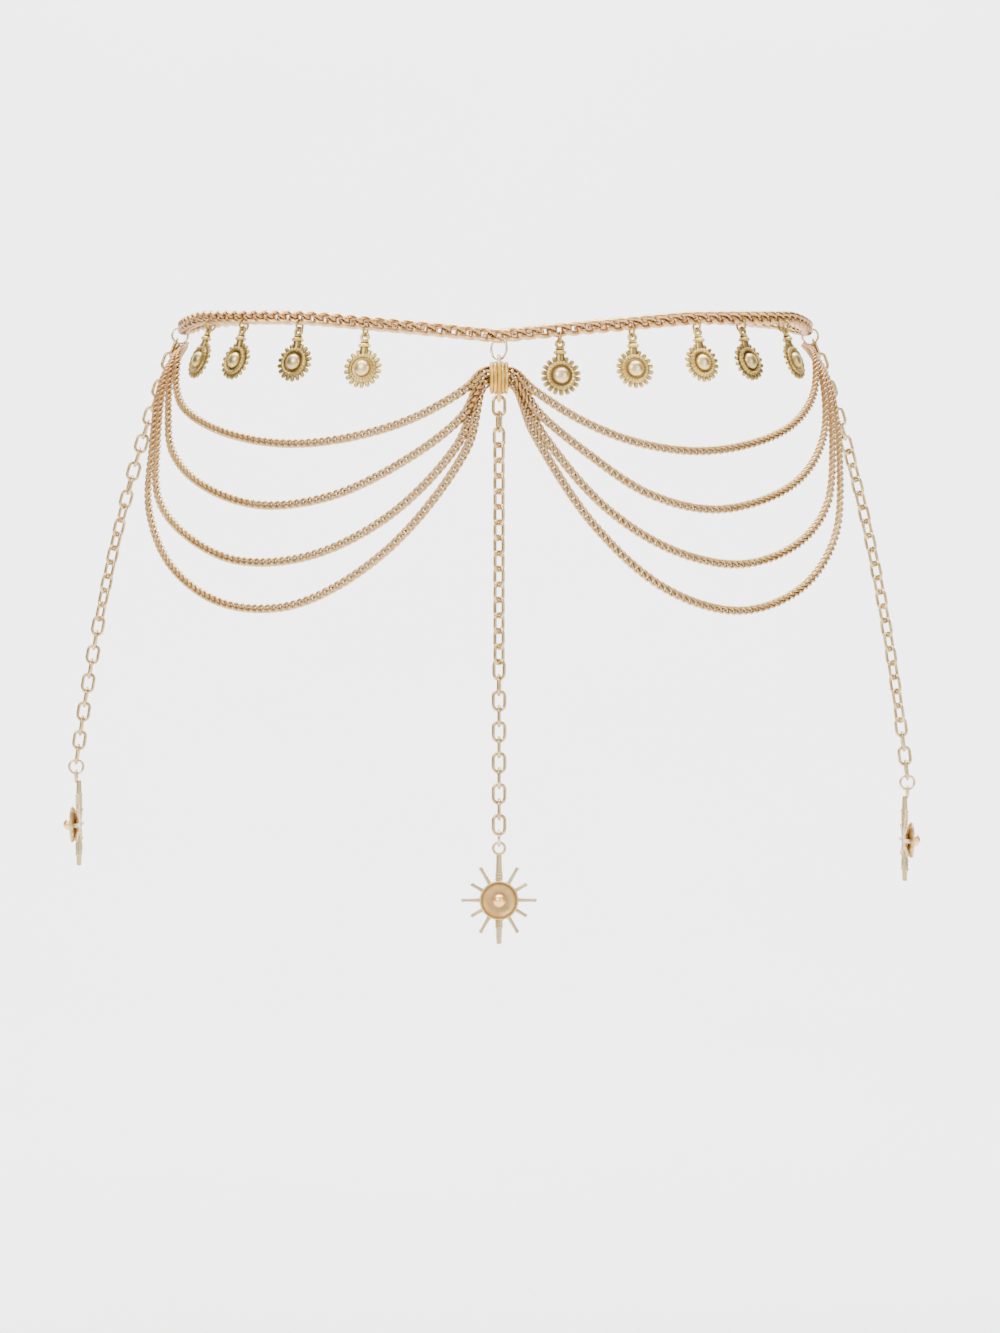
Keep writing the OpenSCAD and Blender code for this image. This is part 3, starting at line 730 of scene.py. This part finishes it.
class WAISTCHAIN_OT_belt(bpy.types.Operator):
    """Twisted links all round the waist"""
    bl_idname = "waistchain.belt"
    bl_label = "Belt links"

    def execute(self, context):
        sizes = context.scene.chain_sizes
        places = []
        for number in range(1 - HALF_LINKS, HALF_LINKS):
            middle, along, out, _ = link_frame(number)
            # Painted warm shade, deepest at the belt's sides
            tint = 1 - abs(abs(link_angle(number)) - BELT_SHADE_ANGLE) / BELT_SHADE_SPREAD
            places.append((middle, along, out, 1.0, max(tint, 0.0)))
        belt = chain_of_links(
            "belt_links", places, belt_metal(),
            Length=BELT_PITCH + sizes.belt_wire + BELT_PLAY, Width=sizes.belt_w,
            Twist=sizes.belt_twist, Wire=sizes.belt_wire, Rings=22, Sides=8)
        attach(belt, ROOT)
        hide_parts("belt_front", "belt_back")
        return {"FINISHED"}


class WAISTCHAIN_OT_swags(bpy.types.Operator):
    """Fine twisted links along the four swags"""
    bl_idname = "waistchain.swags"
    bl_label = "Swag chains"

    def execute(self, context):
        sizes = context.scene.chain_sizes
        for number in range(len(SWAG_ROUTES)):
            line = smooth_line(swag_line(number))
            spots, step = even_places(line, sizes.swag_pitch)
            places = []
            middle = len(spots) / 2
            for n, (point, way) in enumerate(spots):
                normal = Vector((point.x / WAIST_HALF_W ** 2, point.y / WAIST_FRONT ** 2, 0))
                out = normal.normalized()
                out = (out - way * out.dot(way)).normalized()
                # Painted warm shade near the tips and the gather ring
                from_tip = min(n, len(spots) - 1 - n) * step
                from_hub = abs(n + 0.5 - middle) * step
                tint = max(min(1, TIP_TINT * (1 - from_tip / WARM_SHADE_TIP)),
                           HUB_TINT * (1 - from_hub / WARM_SHADE_HUB), 0.0)
                width = min(1.0, DRAWN_IN + from_tip / TAPER_TIP, DRAWN_IN + from_hub / TAPER_HUB)
                places.append((point, way, out, width, tint))
            swag = chain_of_links(
                f"swag_links_{number + 1}", places, swag_metal(),
                Length=step + sizes.swag_wire + SWAG_PLAY, Width=sizes.swag_w,
                Twist=sizes.swag_twist, Wire=sizes.swag_wire, Rings=12, Sides=6)
            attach(swag, ROOT)
            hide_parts(f"swag_strand_{number + 1}")
        return {"FINISHED"}


class WAISTCHAIN_OT_rings(bpy.types.Operator):
    """Metal finishes on the rings, the clasp, the gather ring and the drop chains"""
    bl_idname = "waistchain.rings"
    bl_label = "Rings and drops"

    def execute(self, context):
        for node in ("drop_chain_centre", "drop_chain_left", "drop_chain_right"):
            set_node_metal(node, drop_metal())
        set_node_metal("gather_ring", hub_metal())
        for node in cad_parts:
            if node.startswith("charm_ring"):
                set_node_metal(node, charm_metal())
            elif node.startswith(("star_ring", "side_ring", "centre_ring", "clasp")):
                set_node_metal(node, ring_metal())
        return {"FINISHED"}


def charm_place(number):
    """The low wire of a charm's belt link, turned to face out and leaning with the hip."""
    link = link_near(CHARM_ANGLES[number])
    middle, _, out, up = link_frame(link)
    angle = link_angle(link)
    spread = on_body(angle, CHARM_LOW) - on_body(angle, CHARM_TOP)
    tilt = math.atan(spread.dot(out) / (CHARM_LOW - CHARM_TOP))
    low_wire = middle - up * BELT_LINK_W / 2
    return (Matrix.Translation(low_wire) @ Matrix.Rotation(math.atan2(out.x, -out.y), 4, "Z")
            @ Matrix.Rotation(-tilt, 4, "X"))


def sun_parts(sun_d, teeth):
    """One sun charm with its bail's middle at the origin, hanging down and facing -Y."""
    parts = MeshParts()
    bail_r, bail_wire = 0.0015, 0.0013
    tooth, plate, neck = 0.0022, 0.0010, 0.0034
    rim_r = sun_d / 2
    centre = Vector((0, 0, -(bail_r + neck + rim_r)))
    parts.tube(round_line(bail_r, 24), bail_wire / 2, sides=10, closed=True, hollow=0.15)
    root = rim_r - tooth
    # Teeth: tapered blunt wedges with a groove between each two
    for k in range(teeth):
        a = 2 * math.pi * k / teeth
        out = Vector((math.sin(a), 0, math.cos(a)))
        across = Vector((math.cos(a), 0, -math.sin(a)))
        rings = []
        rows = [(root - 0.0010, 0.00098, 0.0008), (root + tooth * 0.45, 0.00100, 0.00082),
                (rim_r - 0.0005, 0.00090, 0.00074), (rim_r - 0.0001, 0.00062, 0.00048)]
        for reach, half_w, half_h in rows:
            rings.append([centre + out * reach + across * half_w * math.cos(t)
                          + Vector((0, half_h * math.sin(t), 0))
                          for t in [2 * math.pi * j / 8 for j in range(8)]])
        parts.add_rings(rings, hollow=[0.9, 0.55, 0.1, 0.0])
    # Back plate, sunk floor and dome as one turned shape
    dome_r, dome_h, ring_r, ring_half = sun_d * 0.21, 0.0024, sun_d * 0.315, 0.0009
    floor = plate / 2 + 0.0002
    edge = root + 0.0001
    rows = [(0.0, -plate / 2), (root - 0.0002, -plate / 2), (edge, -plate / 2 + 0.0002),
            (edge, plate / 2), (ring_r, floor), (ring_r - ring_half, floor),
            (dome_r + 0.0001, floor - 0.0001)]
    hollow = [0.2, 0.2, 0.3, 0.5, 0.7, 0.9, 0.9]
    # Dome tint: polished gold, partly a painted reflection
    bright = [0.0] * len(rows)
    dome_rows = 8
    for k in range(dome_rows):
        t = math.pi / 2 * k / dome_rows
        rows.append((dome_r * math.cos(t), floor + dome_h * math.sin(t)))
        hollow.append(0.6 if k == 0 else 0.0)
        bright.append(0.0 if k == 0 else 1.0)
    rows.append((0.0, floor + dome_h))
    hollow.append(0.0)
    bright.append(1.0)
    parts.turned(rows, sides=48, centre=centre, caps=False, hollow=hollow, bright=bright)
    # Raised ring round the dome, notched like a rope
    notches, steps = 24, 96
    waves = [math.cos(2 * math.pi * notches * k / steps) for k in range(steps)]
    parts.tube(round_line(ring_r, steps, centre + Vector((0, -floor, 0))),
               [ring_half * (1 + 0.10 * wave) for wave in waves], sides=8, closed=True,
               hollow=[0.25 - 0.25 * wave for wave in waves])
    # Turned neck with a collar
    neck_l = neck + tooth
    neck_rows = [(0.0, 0.0), (0.0019, 0.0), (0.00180, 0.35), (0.0017, 0.50), (0.0025, 0.58),
                 (0.0028, 0.66), (0.0025, 0.75), (0.0015, 0.82), (0.0020, 0.91), (0.0015, 1.0),
                 (0.0, 1.0)]
    rings = []
    for radius, share in neck_rows:
        z = centre.z + root - 0.0004 + share * (neck_l + 0.0004)
        rings.append([Vector((radius * math.cos(2 * math.pi * j / 16),
                              0.75 * radius * math.sin(2 * math.pi * j / 16), z))
                      for j in range(16)])
    parts.add_rings(rings, caps=False,
                    hollow=[0.9, 0.9, 0.6, 0.9, 0.2, 0.0, 0.2, 0.9, 0.2, 0.7, 0.7])
    return parts


class WAISTCHAIN_OT_charms(bpy.types.Operator):
    """Nine sun charms on the belt"""
    bl_idname = "waistchain.charms"
    bl_label = "Sun charms"

    def execute(self, context):
        sizes = context.scene.ornament_sizes
        bail_drop = 0.00345
        for number in range(len(CHARM_ANGLES)):
            place = charm_place(number)
            parts = sun_parts(sizes.sun_d, sizes.sun_teeth)
            # Share of paler gold for this charm
            parts.tints["worn"] = [CHARM_PALER_TONE[number]] * len(parts.points)
            # Painted reflection: the domes' bright tint fades towards the sides
            shine = max(LEAST_SHINE, 1 - abs(CHARM_ANGLES[number]) / SHINE_END)
            parts.tints["bright"] = [shine * value for value in parts.tints["bright"]]
            charm = parts.to_object(f"sun_{number + 1}",
                                    place @ Matrix.Translation((0, 0, -bail_drop)))
            finish_mesh(charm)
            charm.data.materials.append(charm_metal())
            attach(charm, ROOT)
            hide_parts(f"sun_charm_{number + 1}")
        return {"FINISHED"}


def star_parts(cup_d, bead_d):
    """One star with its loop's middle at the origin, hanging down and facing -Y."""
    parts = MeshParts()
    loop_r, loop_wire, stem, back = 0.00235, 0.0012, 0.0208, 0.00115
    plate_r, plate_h = 0.0070, 0.0010
    centre = Vector((0, back, -stem))
    parts.tube(round_line(loop_r, 32), loop_wire / 2, sides=12, closed=True)
    # Slim rays with a knob at each tip
    slim = {1: 0.0152, 2: 0.0130, 3: 0.0152, 4: 0.0130, 5: 0.0152}
    for k in list(slim) + [k + 6 for k in slim]:
        reach = slim[k if k < 6 else 12 - k]
        a = math.pi - math.pi / 6 * k
        out = Vector((math.sin(a), 0, math.cos(a)))
        rows = [(0.0050, 0.00090), (0.0080, 0.00085), (reach - 0.0022, 0.00068),
                (reach - 0.0014, 0.00072), (reach - 0.0009, 0.00086), (reach - 0.0004, 0.00080),
                (reach - 0.0001, 0.00045), (reach, 0.0001)]
        # The hollow tint on each ray is painted shade
        parts.tube([centre + out * reach_row for reach_row, _ in rows],
                   [radius for _, radius in rows], sides=10,
                   hollow=[0.6, 0.7, 0.9, 1.0, 0.8, 0.8, 0.8, 0.8])
    # Two thick upright rays, ribbed near the cup, with painted shade in the grooves between the
    # ribs
    for sign, reach in ((1, stem - loop_r + loop_wire / 2), (-1, 0.0176)):
        rows = [(0.0055, 0.00140)]
        for rib in range(3):
            at = plate_r + 0.0011 + rib * 0.0011
            rows += [(at - 0.0001, 0.00130), (at, 0.00170), (at + 0.0005, 0.00175),
                     (at + 0.0006, 0.00130)]
        rows += [(plate_r + 0.0048, 0.00125), (reach - 0.0006, 0.00105), (reach - 0.0002, 0.0010),
                 (reach, 0.0006)]
        hollow = [0.6] + [1.0, 0.2, 0.2, 1.0] * 3 + [0.5, 0.6, 0.6, 0.6]
        parts.tube([centre + Vector((0, 0, sign * reach_row)) for reach_row, _ in rows],
                   [radius for _, radius in rows], sides=14, hollow=hollow)
    # Back plate, flared cup with a rolled rim, and the bead that sits in it
    cup_r, cup_h, wall = cup_d / 2, 0.0029, 0.0009
    base = plate_h / 2
    rows = [(0.0, -base), (plate_r - 0.0002, -base), (plate_r, -base + 0.0002),
            (plate_r, base - 0.0002), (plate_r - 0.0002, base), (cup_r * 0.57, base),
            (cup_r * 0.80, base + 0.0009), (cup_r * 0.97, base + cup_h - wall),
            (cup_r, base + cup_h - wall * 0.5), (cup_r - wall * 0.25, base + cup_h),
            (cup_r - wall * 0.75, base + cup_h), (cup_r - wall, base + cup_h - wall * 0.5),
            (cup_r * 0.75, base + 0.0016), (cup_r * 0.50, base + 0.0009)]
    # The dark tint is painted shade on the plate, the cup's foot and floor and the bead's foot
    dark = [1.0] * 5 + [0.9, 0.3, 0.1, 0.0, 0.0, 0.0, 0.15, 0.15, 0.40]
    bright = [0.0] * len(rows)
    # Bead tint: polished gold, partly a painted highlight
    bead_z, bead_rows = base + 0.0036, 10
    for k in range(bead_rows + 1):
        t = math.radians(150) * (1 - k / bead_rows)
        rows.append((bead_d / 2 * math.sin(t), bead_z + bead_d / 2 * math.cos(t)))
        dark.append(0.8 if k == 0 else 0.0)
        bright.append(0.0 if k == 0 else 0.9)
    parts.turned(rows, sides=56, centre=centre, caps=False, bright=bright, dark=dark)
    return parts


class WAISTCHAIN_OT_stars(bpy.types.Operator):
    """The three rayed stars at the ends of the drops"""
    bl_idname = "waistchain.stars"
    bl_label = "Stars"

    def execute(self, context):
        sizes = context.scene.ornament_sizes
        loop_out = 0.00295
        for side, facing in (("centre", 0), ("left", -90), ("right", 90)):
            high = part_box("star_" + side)[1]
            ring_low, ring_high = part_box("star_ring_" + side)
            middle = (ring_low + ring_high) / 2
            place = (Matrix.Translation((middle.x, middle.y, high.z - loop_out))
                     @ Matrix.Rotation(math.radians(facing), 4, "Z"))
            parts = star_parts(sizes.star_cup_d, sizes.star_bead_d)
            star = parts.to_object("rayed_star_" + side, place)
            finish_mesh(star)
            star.data.materials.append(star_metal())
            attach(star, side + "_star")
            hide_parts("star_" + side)
        return {"FINISHED"}


class WAISTCHAIN_OT_stage(bpy.types.Operator):
    """Camera, pale floor and soft studio light"""
    bl_idname = "waistchain.stage"
    bl_label = "Stage"

    def execute(self, context):
        add_camera()
        add_sweep()
        add_lights()
        add_surround()
        return {"FINISHED"}


def add_camera():
    """The photograph's view: level, a little to the left and below the belt."""
    camera = bpy.data.cameras.new("view")
    camera.sensor_fit = "VERTICAL"
    camera.sensor_height = 36
    camera.lens = camera.sensor_height * FOCAL_LENGTH / PHOTO_HEIGHT
    camera.clip_end = 20
    holder = bpy.data.objects.new("view", camera)
    holder.location = (-0.020, -1.600, -0.1447)
    holder.rotation_euler = (math.radians(90), 0, math.radians(-0.785))
    bpy.context.scene.collection.objects.link(holder)
    bpy.context.scene.camera = holder


def add_sweep():
    """A pale floor that curves up into a wall behind."""
    floor_z, wall_y, half_w, front_y, curve_r = -0.45, 1.6, 4.0, -3.5, 0.8
    profile = [(front_y, floor_z)]
    for k in range(13):
        t = math.pi / 2 * k / 12
        profile.append((wall_y - curve_r + curve_r * math.sin(t),
                        floor_z + curve_r - curve_r * math.cos(t)))
    profile.append((wall_y, 3.0))
    vertices = [(x, y, z) for y, z in profile for x in (-half_w, half_w)]
    faces = [(2 * k, 2 * k + 1, 2 * k + 3, 2 * k + 2) for k in range(len(profile) - 1)]
    sweep = new_mesh_object("sweep", vertices, faces)
    sweep.data.shade_smooth()
    paper = bpy.data.materials.new("pale_paper")
    paper.use_nodes = True
    nodes, links = paper.node_tree.nodes, paper.node_tree.links
    shader = nodes["Principled BSDF"]
    shader.inputs["Roughness"].default_value = 0.9
    grain = add_node(paper.node_tree, "ShaderNodeTexNoise", Scale=6)
    ramp = nodes.new("ShaderNodeValToRGB")
    ramp.color_ramp.elements[0].color = (0.86, 0.86, 0.87, 1)
    ramp.color_ramp.elements[1].color = (0.90, 0.90, 0.90, 1)
    places = nodes.new("ShaderNodeTexCoord")
    links.new(places.outputs["Object"], grain.inputs["Vector"])
    links.new(grain.outputs["Fac"], ramp.inputs["Fac"])
    links.new(ramp.outputs["Color"], shader.inputs["Base Color"])
    sweep.data.materials.append(paper)


def add_area_light(name, place, target, size, power):
    light = bpy.data.lights.new(name, "AREA")
    light.shape = "RECTANGLE"
    light.size, light.size_y = size
    light.energy = power
    holder = bpy.data.objects.new(name, light)
    holder.location = place
    way = Vector(target) - Vector(place)
    holder.rotation_euler = way.to_track_quat("-Z", "Y").to_euler()
    bpy.context.scene.collection.objects.link(holder)


def add_lights():
    """Large soft lights from the front, both sides and above."""
    target = (0, 0, -0.10)
    add_area_light("key_light", (-1.4, -2.0, 1.2), target, (1.2, 1.2), 62)
    add_area_light("fill_light", (1.8, -1.6, 0.4), target, (1.0, 1.6), 27)
    add_area_light("top_light", (0, -0.2, 2.2), target, (1.6, 1.6), 46)
    add_area_light("wall_light", (0, 0.4, 1.8), (0, 1.6, 0.0), (2.5, 0.8), 170)


def add_surround():
    """A grey surround, brighter in front and behind, so that the chain's sides look deeper."""
    world = bpy.data.worlds.new("surround")
    world.use_nodes = True
    tree, links = world.node_tree, world.node_tree.links
    shade = tree.nodes["Background"]
    shade.inputs["Color"].default_value = (1.0, 0.99, 0.98, 1)
    places = tree.nodes.new("ShaderNodeTexCoord")
    split = tree.nodes.new("ShaderNodeSeparateXYZ")
    links.new(places.outputs["Generated"], split.inputs["Vector"])
    aside = tree.nodes.new("ShaderNodeMath")
    aside.operation = "ABSOLUTE"
    links.new(split.outputs["X"], aside.inputs[0])
    strength = add_node(tree, "ShaderNodeMapRange", From_Min=0.35, From_Max=0.85, To_Min=1.10,
                        To_Max=0.15)
    links.new(aside.outputs["Value"], strength.inputs["Value"])
    links.new(strength.outputs["Result"], shade.inputs["Strength"])
    bpy.context.scene.world = world


class WAISTCHAIN_PT_panel(bpy.types.Panel):
    """Lists the pieces of the waist chain"""
    bl_label = "Waist chain"
    bl_idname = "WAISTCHAIN_PT_panel"
    bl_space_type = "VIEW_3D"
    bl_region_type = "UI"
    bl_category = "Waist chain"

    def draw(self, context):
        for group in ("chain_sizes", "ornament_sizes", "metal_colours"):
            box = self.layout.box()
            settings = getattr(context.scene, group)
            for label in settings.bl_rna.properties.keys():
                if label not in ("rna_type", "name"):
                    box.prop(settings, label)
        for operator in OPERATORS:
            self.layout.operator(operator.bl_idname)


GROUPS = {"chain_sizes": ChainSizes, "ornament_sizes": OrnamentSizes,
          "metal_colours": MetalColours}
OPERATORS = [WAISTCHAIN_OT_stage, WAISTCHAIN_OT_belt, WAISTCHAIN_OT_swags, WAISTCHAIN_OT_rings,
             WAISTCHAIN_OT_charms, WAISTCHAIN_OT_stars]


def register():
    for cls in (*GROUPS.values(), *OPERATORS, WAISTCHAIN_PT_panel):
        bpy.utils.register_class(cls)
    for label, cls in GROUPS.items():
        setattr(bpy.types.Scene, label, bpy.props.PointerProperty(type=cls))


def unregister():
    for label in GROUPS:
        delattr(bpy.types.Scene, label)
    for cls in (WAISTCHAIN_PT_panel, *OPERATORS, *GROUPS.values()):
        bpy.utils.unregister_class(cls)


def main():
    register()
    bpy.ops.waistchain.stage()
    bpy.ops.waistchain.belt()
    bpy.ops.waistchain.swags()
    bpy.ops.waistchain.rings()
    bpy.ops.waistchain.charms()
    bpy.ops.waistchain.stars()


if __name__ == "__main__":
    main()
